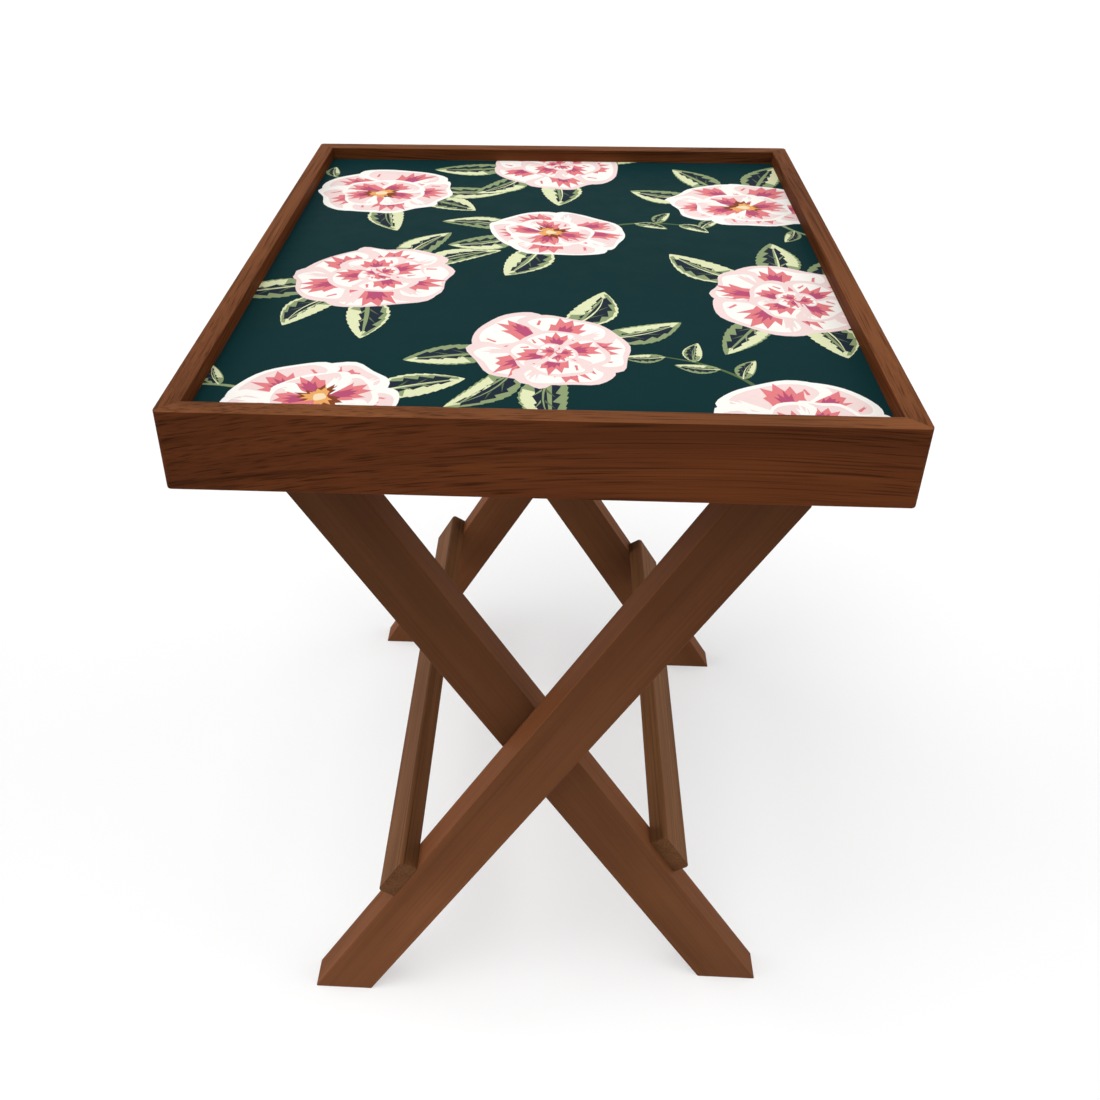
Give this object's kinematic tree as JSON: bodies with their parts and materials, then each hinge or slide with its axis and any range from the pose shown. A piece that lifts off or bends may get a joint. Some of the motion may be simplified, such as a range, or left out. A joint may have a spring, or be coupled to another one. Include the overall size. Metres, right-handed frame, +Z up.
{
  "type": "folding tray table",
  "caption": "Small wooden folding table: a framed tray with a recessed printed panel on two crossing leg frames that scissor shut.",
  "frame": {"origin": "on the floor under the centre of the tray", "axes": "+Z up, +Y to the rear, +X to the right; the legs cross in planes square to Y"},
  "size_m": [0.4, 0.49, 0.525],
  "materials": {
    "apron_wood": "satin",
    "leg_wood": "satin",
    "stretcher_wood": "satin",
    "plain_wood": "matte",
    "printed_laminate": "semi-gloss",
    "steel": "satin",
    "brass": "satin"
  },
  "bodies": {
    "inner_frame": {"front_inner_leg": "leg_wood", "rear_inner_leg": "leg_wood", "inner_stretcher": "stretcher_wood", "inner_top_rod": "plain_wood", "inner_stretcher_dowels": "plain_wood"},
    "outer_frame": {"front_outer_leg": "leg_wood", "rear_outer_leg": "leg_wood", "outer_stretcher": "stretcher_wood", "outer_top_rod": "plain_wood", "outer_stretcher_dowels": "plain_wood", "front_pivot_bolt": "steel", "rear_pivot_bolt": "steel", "pivot_inserts": "brass", "pivot_washers": "steel"},
    "tray": {"front_apron": "apron_wood", "rear_apron": "apron_wood", "left_apron": "apron_wood", "right_apron": "apron_wood", "tray_board": "plain_wood", "printed_top": "printed_laminate", "corner_blocks": "plain_wood", "hinge_rail": "plain_wood", "catch_rail": "plain_wood", "front_hinge_block": "plain_wood", "rear_hinge_block": "plain_wood", "front_catch_block": "plain_wood", "rear_catch_block": "plain_wood", "front_catch_stop": "plain_wood", "rear_catch_stop": "plain_wood", "rail_dowels": "plain_wood", "block_screws": "steel", "corner_dowels": "plain_wood"}
  },
  "joints": [
    {"name": "scissor_fold", "type": "hinge", "parent": "inner_frame", "child": "outer_frame", "pos_m": [0.002, 0, 0.247], "axis": [0, -1, 0], "range_deg": [0, 56]},
    {"name": "tray_lift", "type": "hinge", "parent": "inner_frame", "child": "tray", "pos_m": [-0.13052, 0, 0.45663], "axis": [0, -1, 0], "range_deg": [0, 115]}
  ]
}
